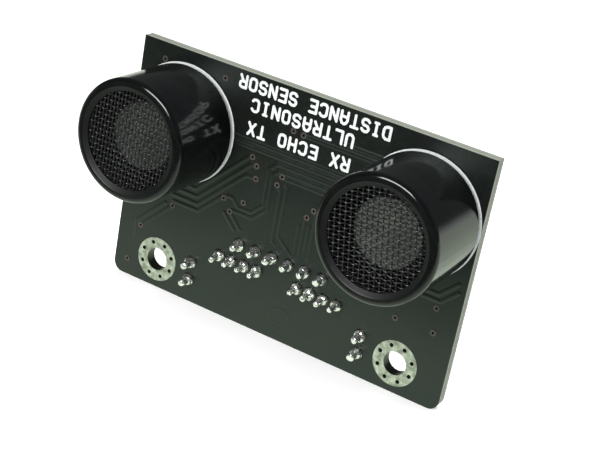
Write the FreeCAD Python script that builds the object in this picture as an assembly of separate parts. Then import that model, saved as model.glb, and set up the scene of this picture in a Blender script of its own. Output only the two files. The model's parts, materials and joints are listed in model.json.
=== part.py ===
"""Ultrasonic distance sensor: a circuit board that carries two open-face transducers.

Frame, in millimetres: the board stands upright with its mounting holes at the bottom. The origin is
midway between the two mounting holes, on the board's rear face. +X runs along the board's long side,
+Y points out of the rear face and +Z points up. The transducers face -Y.
"""
import FreeCAD, Part
import math
import os
from FreeCAD import Vector

# ---- Driving dimensions -------------------------------------------------------------------------
BOARD_WIDTH = 51.0
BOARD_HEIGHT = 34.0
BOARD_THICKNESS = 1.6
MASK_THICKNESS = 0.05
BOARD_CORNER_R = 1.5              # the two lower corners only
HOLE_SPACING = 37.2
HOLE_R = 1.6                      # clears an M3 screw
HOLE_ABOVE_EDGE = 4.0
PAD_R = 3.1
PAD_PROUD = 0.03
PLATING = 0.05
STITCH_COUNT = 8                  # small plated holes round each mounting pad
STITCH_CIRCLE_R = 2.45
STITCH_R = 0.28

VIA_HOLE_R = 0.17
VIA_BARREL_R = 0.25
VIA_RING_R = 0.42
TRACK_WIDTH = 0.22                # along its flat top; its sides slope down to the foot
TRACK_FOOT = 0.66
TRACK_PROUD = 0.05
ROUND_MARK = (1.4, -0.9, 1.5)     # x, z and radius of a faint raised circle
INK_PROUD = 0.03
INK_RING_OUTER_R = 8.1
INK_RING_INNER_R = 7.5

TRANSDUCER_HEIGHT_ON_BOARD = 20.2  # centre, above the mounting holes
TRANSDUCER_CENTRES = {"transmitter": -17.9, "receiver": 17.4}
HOUSING_R = 8.0
HOUSING_BORE_R = 7.2
HOUSING_STAND_OFF = 0.5
HOUSING_TOP = 12.0
LIP_ROUND_R = 0.7
LIP_FACE_INNER_R = 6.95           # the flat face ends here, and a bevel leads down to the mesh
LIP_INNER_R = 6.35
LIP_BEVEL_DEPTH = 0.38
LIP_THICKNESS = 0.6
BASE_EDGE_CHAMFER = 0.2
MESH_THICKNESS = 0.4
MESH_WIRE = 0.2
MESH_PITCH_WIDE = 0.7
MESH_PITCH_NARROW = 0.515
MESH_RIM = 0.45
RETAINER_INNER_R = 6.75
RETAINER_LENGTH = 1.2
CLEARANCE = 0.02

BASE_PLATE_TOP = 2.0
NUB_R = 0.5
NUB_CIRCLE_R = 5.6
PIN_SPACING = 10.0
PIN_R = 0.35
PIN_TOP = 2.6
PIN_BEHIND_BOARD = 1.2
DAMPER_OUTER_R = 4.4
DAMPER_INNER_R = 3.85
PLATE_BOTTOM = 3.4
PLATE_THICKNESS = 0.25
PLATE_R = 4.4
CERAMIC_R = 3.7
CERAMIC_THICKNESS = 0.6
CONE_STEM_R = 0.8
CONE_STEM_HEIGHT = 4.4
CONE_RIM_R = 4.35
CONE_TOP = 8.6
CONE_WALL = 0.2
LEAD_WIRE_R = 0.13
LEAD_WIRE_TOP = 3.9
LEAD_WIRE_LOOP = 0.4
LEAD_WIRE_INSET = 0.7

PIN_GAP = 0.08
MASK_GAP = 0.5

HEADER_PITCH = 2.54
HEADER_PIN = 0.64
HEADER_BODY = 2.5
HEADER_PIN_LENGTH = 8.5
STUB = 1.7
PROGRAM_HEADER_Z = 6.9
PROGRAM_HEADER_PINS = 6
LINK_HEADER_X = 13.2
LINK_HEADER_Z = 0.33
BUS_PITCH = 2.0
BUS_PINS = 4
BUS_PIN = 0.5
BUS_X = 6.1
BUS_PIN_Z = 4.25
BUS_STUB = 1.9
BUS_SHELL_WIDTH = 9.9
BUS_SHELL_DEPTH = 4.9
BUS_SHELL_TOP = 3.3
BUS_SHELL_BOTTOM = -3.6
BUS_WALL = 0.65
BUS_BACK_WALL = 1.1
BUS_PIN_TIP_Z = -1.6
BUS_KEY_SLOT = (1.0, 3.2)         # width and length
BUS_SIDE_SLOT = (1.2, 2.4)
SOLDER_PAD_R = 0.85
SOLDER_HEIGHT = 0.9
TRANSDUCER_SOLDER_R = 1.05

# Rear-face packages: places are the (x, z) of their middles, sizes are along X, along Z and in height.
PACKAGE_LIFT = 0.1
PACKAGE_DRAFT = 0.12
THIN_PACKAGE = 1.1
LEAD_METAL = 0.15
LEAD_FOOT = 0.5
MICROCONTROLLER = (0.0, 16.0)
MICROCONTROLLER_SIDE = 7.0
MICROCONTROLLER_PITCH = 0.8
MICROCONTROLLER_SIDE_LEADS = 8
MICROCONTROLLER_LEAD = (1.0, 0.35)
SMALL_OUTLINE_PITCH = 1.27
SMALL_OUTLINE_WIDTH = 3.9
SMALL_OUTLINE_HEIGHT = 1.5
SMALL_OUTLINE_LEAD = (1.05, 0.42)
SMALL_OUTLINE_CHIPS = {           # x, z and the leads on each side
    "driver": (-17.2, 8.6, 8),
    "amplifier": (17.2, 8.6, 7),
    "bus_transceiver": (7.2, 12.2, 4),
}
REGULATOR = (-8.6, 24.4)
REGULATOR_SIZE = (6.5, 3.5, 1.6)
REGULATOR_PITCH = 2.3
REGULATOR_LEAD = (1.6, 0.7)            # reach and width
REGULATOR_TAB = (3.0, 1.75, 0.3)
TEMPERATURE_SENSOR = (22.6, 26.6)
TEMPERATURE_SENSOR_SIZE = (2.9, 1.3, THIN_PACKAGE)
TEMPERATURE_SENSOR_PITCH = 1.9
TEMPERATURE_SENSOR_LEAD = (0.7, 0.4)
CRYSTAL = (0.4, 26.2)
CRYSTAL_BASE = (11.4, 4.8, 0.5)
CRYSTAL_FLANGE = (11.2, 4.6, 0.9)
CRYSTAL_CAN = (10.3, 3.8, 3.9)
CAPACITORS = [(-10.6, 14.6), (8.0, 21.6)]
CAPACITOR_BASE = 5.3
CAPACITOR_BASE_HEIGHT = 0.9
CAPACITOR_R = 2.5
CAPACITOR_GROOVE_R = 2.35
CAPACITOR_TOP = 5.4
CHIP_RESISTOR = (1.6, 0.8, 0.45, 0.3)      # length, width, height and the length of each metal end
CHIP_CAPACITOR = (2.0, 1.25, 0.9, 0.4)

FULL = 360.0
FRONT = -BOARD_THICKNESS
BOARD_BOTTOM = -HOLE_ABOVE_EDGE
BOARD_TOP = BOARD_BOTTOM + BOARD_HEIGHT
HALF_WIDTH = BOARD_WIDTH / 2
Y_AXIS = Vector(0, 1, 0)


# ---- Small builders -----------------------------------------------------------------------------
def front(height):
    """The y of a height above the board's front face."""
    return FRONT - height


def block(x, y, z):
    """A box from three (low, high) pairs."""
    corner = Vector(x[0], y[0], z[0])
    return Part.makeBox(x[1] - x[0], y[1] - y[0], z[1] - z[0], corner)


def centred(middle, size):
    return (middle - size / 2, middle + size / 2)


def rod(x, z, radius, y_low, y_high):
    """A round bar along Y."""
    return Part.makeCylinder(radius, y_high - y_low, Vector(x, y_low, z), Y_AXIS)


def tube(x, z, outer, inner, y_low, y_high):
    return rod(x, z, outer, y_low, y_high).cut(rod(x, z, inner, y_low, y_high))


def turned(x, z, outline):
    """A solid of revolution about a line along Y; the outline is a closed list of (radius, y)."""
    points = [Vector(radius, y, 0) for radius, y in outline]
    wire = Part.makePolygon(points + points[:1])
    solid = Part.Face(wire).revolve(Vector(0, 0, 0), Y_AXIS, FULL)
    return solid.translated(Vector(x, 0, z))


def plate(outline, y_low, y_high):
    """A flat plate parallel to the board from a closed wire in the XZ plane."""
    face = Part.Face(outline).translated(Vector(0, y_low, 0))
    return face.extrude(Vector(0, y_high - y_low, 0))


def fused(solids):
    whole = solids[0]
    if len(solids) > 1:
        whole = whole.fuse(solids[1:]).removeSplitter()
    return whole


def save(name, solids):
    """Write one node; a list of separate solids becomes one group."""
    shape = Part.makeCompound(solids) if isinstance(solids, list) else solids
    shape.exportStep("parts/" + name + ".step")


def row(count, pitch, middle=0.0):
    """Evenly spaced places about a middle."""
    start = middle - pitch * (count - 1) / 2
    return [start + pitch * i for i in range(count)]


# ---- Places on the board, above and beside its mounting holes -----------------------------------
MOUNT_XS = (-HOLE_SPACING / 2, HOLE_SPACING / 2)
PROGRAM_PINS = [(x, PROGRAM_HEADER_Z) for x in row(PROGRAM_HEADER_PINS, HEADER_PITCH)]
LINK_PINS = [(side * LINK_HEADER_X, z) for side in (-1, 1) for z in row(2, HEADER_PITCH, LINK_HEADER_Z)]
BUS_SIDES = {"left": -BUS_X, "right": BUS_X}
BUS_PLACES = [(x, BUS_PIN_Z) for middle in BUS_SIDES.values() for x in row(BUS_PINS, BUS_PITCH, middle)]
TRANSDUCER_PINS = [(x + side * PIN_SPACING / 2, TRANSDUCER_HEIGHT_ON_BOARD)
                   for x in TRANSDUCER_CENTRES.values() for side in (-1, 1)]
STITCH_HOLES = [(x + STITCH_CIRCLE_R * math.cos(math.pi * (2 * i + 1) / STITCH_COUNT),
                 STITCH_CIRCLE_R * math.sin(math.pi * (2 * i + 1) / STITCH_COUNT))
                for x in MOUNT_XS for i in range(STITCH_COUNT)]
VIAS = [(-6.6, 19.3), (-5.8, 18.3), (-5.6, 16.6), (-1.9, 18.2), (-2.4, 16.9), (3.4, 15.4), (2.6, 14.2),
        (-9.8, 12.4), (-6.8, 12.8), (-8.6, 10.9), (-17.4, 8.5), (-22.0, 3.9), (-23.4, -1.7),
        (22.3, 9.4), (17.3, 6.0), (22.6, 6.1), (-21.9, 27.8), (-12.5, 28.1), (-1.5, 24.6), (0.0, 24.5)]
TRACKS = [
    [(-17.0, 12.1), (-14.2, 12.1), (-7.0, 19.3), (-6.6, 19.3)],
    [(-18.5, 11.1), (-13.8, 11.1), (-6.6, 18.3), (-5.8, 18.3)],
    [(-19.0, 10.1), (-13.6, 10.1), (-7.1, 16.6), (-5.6, 16.6)],
    [(-17.4, 9.2), (-13.4, 9.2), (-10.2, 12.4), (-9.8, 12.4)],
    [(-9.8, 12.4), (-9.3, 12.9), (-8.5, 12.9), (-7.5, 11.9), (-5.5, 11.9), (-3.9, 13.5), (-3.9, 18.6),
     (-2.9, 19.6), (5.6, 19.6)],
    [(-8.6, 10.9), (-8.2, 11.2), (-5.2, 11.2), (-3.2, 13.2), (-3.2, 18.0), (-2.4, 18.8), (7.0, 18.8)],
    [(-1.9, 18.2), (-1.5, 18.1), (7.0, 18.1)],
    [(-2.4, 16.9), (-1.7, 16.2), (-1.7, 9.3), (-1.27, 8.9)],
    [(-1.2, 17.3), (-0.9, 17.0), (-0.9, 10.2), (1.27, 8.4)],
    [(-8.6, 10.9), (-6.7, 9.0)],
    [(-9.4, 10.5), (-7.6, 8.7)],
    [(-12.0, 20.5), (8.4, 20.5)],
    [(-12.0, 21.3), (8.4, 21.3)],
    [(0.0, 24.5), (11.5, 24.5)],
    [(6.4, 25.3), (11.5, 25.3)],
    [(-17.4, 8.5), (-22.0, 3.9)],
    [(-18.6, 8.5), (-22.7, 4.4), (-22.7, 2.2)],
    [(19.6, 10.4), (22.6, 10.4), (24.6, 12.4)],
    [(19.6, 11.3), (22.2, 11.3), (24.4, 13.5)],
    [(3.4, 15.4), (3.9, 14.9), (3.9, 10.0), (3.81, 8.7)],
    [(2.6, 14.2), (2.5, 13.8), (2.5, 8.9)],
    [(1.8, 12.8), (1.8, 8.9)],
    [(3.2, 13.1), (3.2, 8.9)],
]


# ---- Circuit board ------------------------------------------------------------------------------
def board_outline():
    """The board's edge: square upper corners, rounded lower corners."""
    left, right, r = -HALF_WIDTH, HALF_WIDTH, BOARD_CORNER_R
    bottom, top = BOARD_BOTTOM, BOARD_TOP
    bulge = r * (1 - math.sqrt(0.5))
    edges = [
        Part.makeLine(Vector(left + r, 0, bottom), Vector(right - r, 0, bottom)),
        Part.Arc(Vector(right - r, 0, bottom), Vector(right - bulge, 0, bottom + bulge),
                 Vector(right, 0, bottom + r)).toShape(),
        Part.makeLine(Vector(right, 0, bottom + r), Vector(right, 0, top)),
        Part.makeLine(Vector(right, 0, top), Vector(left, 0, top)),
        Part.makeLine(Vector(left, 0, top), Vector(left, 0, bottom + r)),
        Part.Arc(Vector(left, 0, bottom + r), Vector(left + bulge, 0, bottom + bulge),
                 Vector(left + r, 0, bottom)).toShape(),
    ]
    return Part.Wire(edges)


def board_layer(y_low, y_high, mount_r, pin_clearance, stitch):
    """One layer of the board with every hole that passes through it."""
    holes = [(x, 0.0, mount_r) for x in MOUNT_XS]
    holes += [(x, z, VIA_BARREL_R) for x, z in VIAS]
    holes += [(x, z, HEADER_PIN / math.sqrt(2) + pin_clearance) for x, z in PROGRAM_PINS + LINK_PINS]
    holes += [(x, z, BUS_PIN / math.sqrt(2) + pin_clearance) for x, z in BUS_PLACES]
    holes += [(x, z, PIN_R + pin_clearance) for x, z in TRANSDUCER_PINS]
    if stitch:
        holes += [(x, z, STITCH_R) for x, z in STITCH_HOLES]
    layer = plate(board_outline(), y_low, y_high)
    return layer.cut([rod(x, z, r, y_low, y_high) for x, z, r in holes])


def mounting_pad(x):
    """A tinned ring on both faces joined by a plated barrel, with its stitching holes."""
    barrel = tube(x, 0, HOLE_R + PLATING, HOLE_R, FRONT - PAD_PROUD, PAD_PROUD)
    front_ring = tube(x, 0, PAD_R, HOLE_R, FRONT - PAD_PROUD, FRONT + MASK_THICKNESS)
    rear_ring = tube(x, 0, PAD_R, HOLE_R, -MASK_THICKNESS, PAD_PROUD)
    pad = fused([barrel, front_ring, rear_ring])
    nearby = [(hx, hz) for hx, hz in STITCH_HOLES if abs(hx - x) < PAD_R]
    return pad.cut([rod(hx, hz, STITCH_R, FRONT - 1, 1) for hx, hz in nearby])


def via(x, z):
    """A plated hole with a small raised ring on the front face."""
    low = FRONT - TRACK_PROUD
    outline = [(VIA_HOLE_R, low), (VIA_RING_R, low), (VIA_RING_R, FRONT), (VIA_BARREL_R, FRONT),
               (VIA_BARREL_R, 0), (VIA_HOLE_R, 0)]
    return turned(x, z, outline)


def track(points):
    """A raised line along a path, with sloping sides and round corners, on the front face."""
    low, foot, top = FRONT - TRACK_PROUD, TRACK_FOOT / 2, TRACK_WIDTH / 2
    pieces = [Part.makeCone(foot, top, TRACK_PROUD, Vector(x, FRONT, z), -Y_AXIS) for x, z in points]
    for (xa, za), (xb, zb) in zip(points, points[1:]):
        run = math.hypot(xb - xa, zb - za)
        angle = math.degrees(math.atan2(zb - za, xb - xa))
        section = [Vector(0, FRONT, -foot), Vector(0, FRONT, foot), Vector(0, low, top), Vector(0, low, -top)]
        bar = Part.Face(Part.makePolygon(section + section[:1])).extrude(Vector(run, 0, 0))
        bar.rotate(Vector(0, 0, 0), Y_AXIS, -angle)
        pieces.append(bar.translated(Vector(xa, 0, za)))
    return fused(pieces)


def round_mark():
    """A faint raised circle, as of a copper ring under the mask."""
    x, z, radius = ROUND_MARK
    foot, top, low = TRACK_FOOT / 4, TRACK_WIDTH / 4, FRONT - TRACK_PROUD / 2
    outline = [(radius - foot, FRONT), (radius + foot, FRONT), (radius + top, low), (radius - top, low)]
    return turned(x, z, outline)


def board():
    core = (FRONT + MASK_THICKNESS, -MASK_THICKNESS)
    save("board_laminate", board_layer(*core, HOLE_R + PLATING, PIN_GAP, True))
    save("solder_mask_front", board_layer(FRONT, core[0], PAD_R, MASK_GAP, False))
    save("solder_mask_rear", board_layer(core[1], 0, PAD_R, MASK_GAP, False))
    save("mounting_pads", [mounting_pad(x) for x in MOUNT_XS])
    save("vias", [via(x, z) for x, z in VIAS])
    away = [rod(x, z, VIA_RING_R, FRONT - 1, 0) for x, z in VIAS]
    away += [rod(x, TRANSDUCER_HEIGHT_ON_BOARD, INK_RING_OUTER_R, FRONT - 1, 0)
             for x in TRANSDUCER_CENTRES.values()]
    away += [rod(x, z, SOLDER_PAD_R, FRONT - 1, 0) for x, z in PROGRAM_PINS]
    lines = [solid for points in TRACKS for solid in track(points).cut(away).Solids]
    save("front_tracks", lines + [round_mark()])
    rings = [tube(x, TRANSDUCER_HEIGHT_ON_BOARD, INK_RING_OUTER_R, INK_RING_INNER_R,
                  front(INK_PROUD), FRONT)
             for x in TRANSDUCER_CENTRES.values()]
    on_board = block((-HALF_WIDTH, HALF_WIDTH), (FRONT - 1, 0), (BOARD_BOTTOM, BOARD_TOP))
    save("ink_rings", [ring.common(on_board) for ring in rings])


# ---- Transducers --------------------------------------------------------------------------------
def housing(x):
    """A black can with a rounded front lip that turns in over the mesh and is bevelled down to it."""
    base, top, r = front(HOUSING_STAND_OFF), front(HOUSING_TOP), LIP_ROUND_R
    soft = r * (1 - math.sqrt(0.5))
    lip_back = top + LIP_THICKNESS
    lines = [(HOUSING_BORE_R, base), (HOUSING_R - BASE_EDGE_CHAMFER, base),
             (HOUSING_R, base - BASE_EDGE_CHAMFER), (HOUSING_R, top + r)]
    after = [(HOUSING_R - r, top), (LIP_FACE_INNER_R, top), (LIP_INNER_R, top + LIP_BEVEL_DEPTH),
             (LIP_INNER_R, lip_back), (HOUSING_BORE_R, lip_back), (HOUSING_BORE_R, base)]
    edges = [Part.makeLine(Vector(*a, 0), Vector(*b, 0)) for a, b in zip(lines, lines[1:])]
    edges.append(Part.Arc(Vector(*lines[-1], 0), Vector(HOUSING_R - soft, top + soft, 0),
                          Vector(*after[0], 0)).toShape())
    edges += [Part.makeLine(Vector(*a, 0), Vector(*b, 0)) for a, b in zip(after, after[1:])]
    can = Part.Face(Part.Wire(edges)).revolve(Vector(0, 0, 0), Y_AXIS, FULL)
    return can.translated(Vector(x, 0, TRANSDUCER_HEIGHT_ON_BOARD))


def mesh_disc(x, pitch_x, pitch_z):
    """A round screen with a rectangular hole between each pair of wires."""
    z = TRANSDUCER_HEIGHT_ON_BOARD
    radius = HOUSING_BORE_R - CLEARANCE
    rim = Part.Wire(Part.makeCircle(radius, Vector(x, 0, z), Y_AXIS))
    wires = [rim]
    half_x, half_z = (pitch_x - MESH_WIRE) / 2, (pitch_z - MESH_WIRE) / 2
    reach = radius - MESH_RIM
    for i in range(-int(radius / pitch_x), int(radius / pitch_x) + 1):
        for j in range(-int(radius / pitch_z), int(radius / pitch_z) + 1):
            across, up = i * pitch_x, j * pitch_z
            if math.hypot(abs(across) + half_x, abs(up) + half_z) > reach:
                continue
            corners = [Vector(x + across + sx * half_x, 0, z + up + sz * half_z)
                       for sx, sz in ((-1, -1), (-1, 1), (1, 1), (1, -1))]
            wires.append(Part.makePolygon(corners + corners[:1]))
    back = front(HOUSING_TOP) + LIP_THICKNESS + MESH_THICKNESS
    face = Part.makeFace(wires, "Part::FaceMakerBullseye").translated(Vector(0, back, 0))
    return face.extrude(Vector(0, -MESH_THICKNESS, 0))


def retainer(x):
    """The ring that presses the mesh against the lip."""
    high = front(HOUSING_TOP) + LIP_THICKNESS + MESH_THICKNESS
    return tube(x, TRANSDUCER_HEIGHT_ON_BOARD, HOUSING_BORE_R - CLEARANCE, RETAINER_INNER_R,
                high, high + RETAINER_LENGTH)


def base_plate(x):
    """The plate that closes the can, with three nubs that stand it off the board."""
    z = TRANSDUCER_HEIGHT_ON_BOARD
    disc = rod(x, z, HOUSING_BORE_R - CLEARANCE, front(BASE_PLATE_TOP), front(HOUSING_STAND_OFF))
    nubs = [rod(x + NUB_CIRCLE_R * math.cos(angle), z + NUB_CIRCLE_R * math.sin(angle), NUB_R,
                front(HOUSING_STAND_OFF), FRONT)
            for angle in (math.pi / 2, math.pi * 7 / 6, math.pi * 11 / 6)]
    pins = [rod(x + side * PIN_SPACING / 2, z, PIN_R, front(PIN_TOP), FRONT) for side in (-1, 1)]
    return fused([disc] + nubs).cut(pins)


def terminal_pins(x):
    z = TRANSDUCER_HEIGHT_ON_BOARD
    return [rod(x + side * PIN_SPACING / 2, z, PIN_R, front(PIN_TOP), PIN_BEHIND_BOARD)
            for side in (-1, 1)]


def damper(x):
    """The soft ring that carries the vibrating plate by its edge."""
    return tube(x, TRANSDUCER_HEIGHT_ON_BOARD, DAMPER_OUTER_R, DAMPER_INNER_R,
                front(PLATE_BOTTOM), front(BASE_PLATE_TOP))


def cone(x):
    """A thin shallow cone that opens to the front, on a stem glued to the plate."""
    foot = PLATE_BOTTOM + PLATE_THICKNESS
    knee = foot + CONE_STEM_HEIGHT
    slope = math.hypot(CONE_TOP - knee, CONE_RIM_R - CONE_STEM_R)
    drop = CONE_WALL * slope / (CONE_RIM_R - CONE_STEM_R)
    outline = [(0, front(foot)), (CONE_STEM_R, front(foot)), (CONE_STEM_R, front(knee)),
               (CONE_RIM_R, front(CONE_TOP)), (CONE_RIM_R - CONE_WALL / 2, front(CONE_TOP)),
               (CONE_STEM_R - CONE_WALL, front(knee + drop)), (0, front(knee + drop))]
    return turned(x, TRANSDUCER_HEIGHT_ON_BOARD, outline)


def lead_wire(x, side):
    """A fine wire from a terminal pin up and over onto the vibrating plate."""
    z = TRANSDUCER_HEIGHT_ON_BOARD
    start = x + side * PIN_SPACING / 2
    landing = x + side * (PLATE_R - LEAD_WIRE_INSET)
    top = LEAD_WIRE_TOP + LEAD_WIRE_LOOP
    bend = (start - landing) / 2
    points = [Vector(start, front(PIN_TOP), z), Vector(start, front(top), z),
              Vector(start - bend, front(top) - abs(bend), z), Vector(landing, front(top), z),
              Vector(landing, front(PLATE_BOTTOM + PLATE_THICKNESS), z)]
    path = Part.Wire([Part.makeLine(points[0], points[1]),
                      Part.Arc(points[1], points[2], points[3]).toShape(),
                      Part.makeLine(points[3], points[4])])
    section = Part.Wire(Part.makeCircle(LEAD_WIRE_R, points[0], Y_AXIS))
    return path.makePipeShell([section], True, False)


def transducers():
    z = TRANSDUCER_HEIGHT_ON_BOARD
    pitches = {"transmitter": (MESH_PITCH_NARROW, MESH_PITCH_WIDE),
               "receiver": (MESH_PITCH_WIDE, MESH_PITCH_NARROW)}
    for name, x in TRANSDUCER_CENTRES.items():
        save(name + "_housing", housing(x))
        save(name + "_mesh", mesh_disc(x, *pitches[name]))
        save(name + "_mesh_retainer", retainer(x))
        save(name + "_cone", cone(x))
        save(name + "_metal_plate", rod(x, z, PLATE_R, front(PLATE_BOTTOM + PLATE_THICKNESS),
                                        front(PLATE_BOTTOM)))
        save(name + "_ceramic_disc", rod(x, z, CERAMIC_R, front(PLATE_BOTTOM),
                                         front(PLATE_BOTTOM - CERAMIC_THICKNESS)))
        save(name + "_damper_ring", damper(x))
        save(name + "_base_plate", base_plate(x))
        save(name + "_terminal_pins", terminal_pins(x))
        save(name + "_lead_wires", [lead_wire(x, side) for side in (-1, 1)])


# ---- Solder -------------------------------------------------------------------------------------
def solder_joint(x, z, pad_r, tip_r, height, side, pin):
    """A concave fillet round a pin; side is -1 on the front face and 1 on the rear face."""
    face = FRONT if side < 0 else 0.0
    waist = tip_r + (pad_r - tip_r) * 0.3
    inside = tip_r / 3
    outline = [(inside, face), (pad_r, face), (pad_r * 0.93, face + side * height * 0.12),
               (waist, face + side * height * 0.5), (tip_r, face + side * height),
               (inside, face + side * height)]
    return turned(x, z, outline).cut(pin)


def square_pin(x, z, size, y_low, y_high, tip=0.15):
    """A square pin along Y with tapered ends."""
    body = block(centred(x, size), (y_low + tip, y_high - tip), centred(z, size))
    ends = []
    for y_wide, y_tip in ((y_low + tip, y_low), (y_high - tip, y_high)):
        wide = Part.makePolygon([Vector(x + a * size / 2, y_wide, z + b * size / 2)
                                 for a, b in ((-1, -1), (-1, 1), (1, 1), (1, -1), (-1, -1))])
        small = Part.makePolygon([Vector(x + a * size / 3, y_tip, z + b * size / 3)
                                  for a, b in ((-1, -1), (-1, 1), (1, 1), (1, -1), (-1, -1))])
        ends.append(Part.makeLoft([wide, small], True))
    return fused([body] + ends)


def solder():
    square = {"header_solder": (PROGRAM_PINS, HEADER_PIN), "link_solder": (LINK_PINS, HEADER_PIN),
              "bus_solder": (BUS_PLACES, BUS_PIN)}
    for name, (places, size) in square.items():
        tip_r = size / math.sqrt(2) + 0.06
        joints = []
        for x, z in places:
            pin = block(centred(x, size), (FRONT - STUB, 0), centred(z, size))
            joints.append(solder_joint(x, z, SOLDER_PAD_R, tip_r, SOLDER_HEIGHT, -1, pin))
        save(name, joints)
    rear = [solder_joint(x, z, TRANSDUCER_SOLDER_R, PIN_R + 0.1, SOLDER_HEIGHT, 1, rod(x, z, PIN_R, -1, 2))
            for x, z in TRANSDUCER_PINS]
    save("transducer_solder", rear)


# ---- Connectors on the rear face ----------------------------------------------------------------
def header_body(x, z, columns, rows):
    """A moulded strip with a chamfered block round each pin."""
    cells = []
    for cx in row(columns, HEADER_PITCH, x):
        for cz in row(rows, HEADER_PITCH, z):
            size = HEADER_PITCH
            cell = block(centred(cx, size), (0, HEADER_BODY), centred(cz, size))
            upright = [e for e in cell.Edges if abs(e.tangentAt(e.FirstParameter).y) > 0.9]
            cells.append(cell.makeChamfer(0.35, upright))
    pins = [block(centred(cx, HEADER_PIN), (-1, HEADER_BODY + 1), centred(cz, HEADER_PIN))
            for cx in row(columns, HEADER_PITCH, x) for cz in row(rows, HEADER_PITCH, z)]
    return fused(cells).cut(pins)


def bus_pin(x):
    """A square pin that comes out of the board and turns down into its shell."""
    z, half = BUS_PIN_Z, BUS_PIN / 2
    y_mid = BUS_SHELL_DEPTH / 2
    upright = block(centred(x, BUS_PIN), (FRONT - BUS_STUB, y_mid + half), centred(z, BUS_PIN))
    along = block(centred(x, BUS_PIN), centred(y_mid, BUS_PIN), (BUS_PIN_TIP_Z, z + half))
    pin = fused([upright, along])
    outer = Vector(x, y_mid + half, z + half)
    corner = [edge for edge in pin.Edges if edge.CenterOfMass.distanceToPoint(outer) < CLEARANCE]
    return pin.makeFillet(half, corner)


def bus_shell(x):
    """A side-entry shell, open at the board's lower edge, with a keying slot on each side."""
    top, bottom = BUS_SHELL_TOP, BUS_SHELL_BOTTOM
    shell = block(centred(x, BUS_SHELL_WIDTH), (0, BUS_SHELL_DEPTH), (bottom, top))
    cavity = block(centred(x, BUS_SHELL_WIDTH - 2 * BUS_WALL), (BUS_WALL, BUS_SHELL_DEPTH - BUS_WALL),
                   (bottom, top - BUS_BACK_WALL))
    slots = [block(centred(x + side * BUS_SHELL_WIDTH / 3, BUS_KEY_SLOT[0]),
                   (BUS_SHELL_DEPTH - BUS_WALL, BUS_SHELL_DEPTH), (bottom, bottom + BUS_KEY_SLOT[1]))
             for side in (-1, 1)]
    sides = [block(centred(x + side * BUS_SHELL_WIDTH / 2, 2 * BUS_WALL),
                   centred(BUS_SHELL_DEPTH / 2, BUS_SIDE_SLOT[0]), (bottom, bottom + BUS_SIDE_SLOT[1]))
             for side in (-1, 1)]
    pins = [block(centred(px, BUS_PIN), centred(BUS_SHELL_DEPTH / 2, BUS_PIN), (bottom, top + 1))
            for px in row(BUS_PINS, BUS_PITCH, x)]
    return shell.cut([cavity] + slots + sides + pins)


def connectors():
    low, high = front(STUB), HEADER_BODY + HEADER_PIN_LENGTH - HEADER_PITCH
    save("program_header_body", header_body(0, PROGRAM_HEADER_Z, PROGRAM_HEADER_PINS, 1))
    save("program_header_pins", [square_pin(x, z, HEADER_PIN, low, high) for x, z in PROGRAM_PINS])
    save("link_header_bodies", [header_body(side * LINK_HEADER_X, LINK_HEADER_Z, 1, 2) for side in (-1, 1)])
    save("link_header_pins", [square_pin(x, z, HEADER_PIN, low, high) for x, z in LINK_PINS])
    for side, x in BUS_SIDES.items():
        save("bus_" + side + "_shell", bus_shell(x))
        save("bus_" + side + "_pins", [bus_pin(px) for px in row(BUS_PINS, BUS_PITCH, x)])


# ---- Chips and small components on the rear face ------------------------------------------------
def chip_body(x, z, size):
    """A moulded package with a draft on its four sides."""
    width, height, thickness = size
    middle = (PACKAGE_LIFT + thickness) / 2
    loops = []
    for y, inset in ((PACKAGE_LIFT, PACKAGE_DRAFT), (middle, 0.0), (thickness, PACKAGE_DRAFT)):
        half_x, half_z = width / 2 - inset, height / 2 - inset
        loops.append(Part.makePolygon([Vector(x + a * half_x, y, z + b * half_z)
                                       for a, b in ((-1, -1), (-1, 1), (1, 1), (1, -1), (-1, -1))]))
    return Part.makeLoft(loops, True, True)


def gull_lead(reach, width, exit_height):
    """One bent lead that leaves its package along +X at the origin and ends in a foot."""
    metal, bend = LEAD_METAL, reach - LEAD_FOOT
    outline = [(0, exit_height - metal / 2), (bend - metal, exit_height - metal / 2), (bend - metal, 0),
               (reach, 0), (reach, metal), (bend, metal), (bend, exit_height + metal / 2),
               (0, exit_height + metal / 2)]
    points = [Vector(a, b, -width / 2) for a, b in outline]
    face = Part.Face(Part.makePolygon(points + points[:1]))
    return face.extrude(Vector(0, 0, width))


def lead_rows(x, z, count, pitch, half_body, reach, width, exit_height, directions):
    """Rows of leads; a direction is the angle in which its row points."""
    leads = []
    for angle in directions:
        for place in row(count, pitch):
            lead = gull_lead(reach, width, exit_height).translated(Vector(half_body, 0, place))
            lead.rotate(Vector(0, 0, 0), Y_AXIS, -angle)
            leads.append(lead.translated(Vector(x, 0, z)))
    return leads


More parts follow.
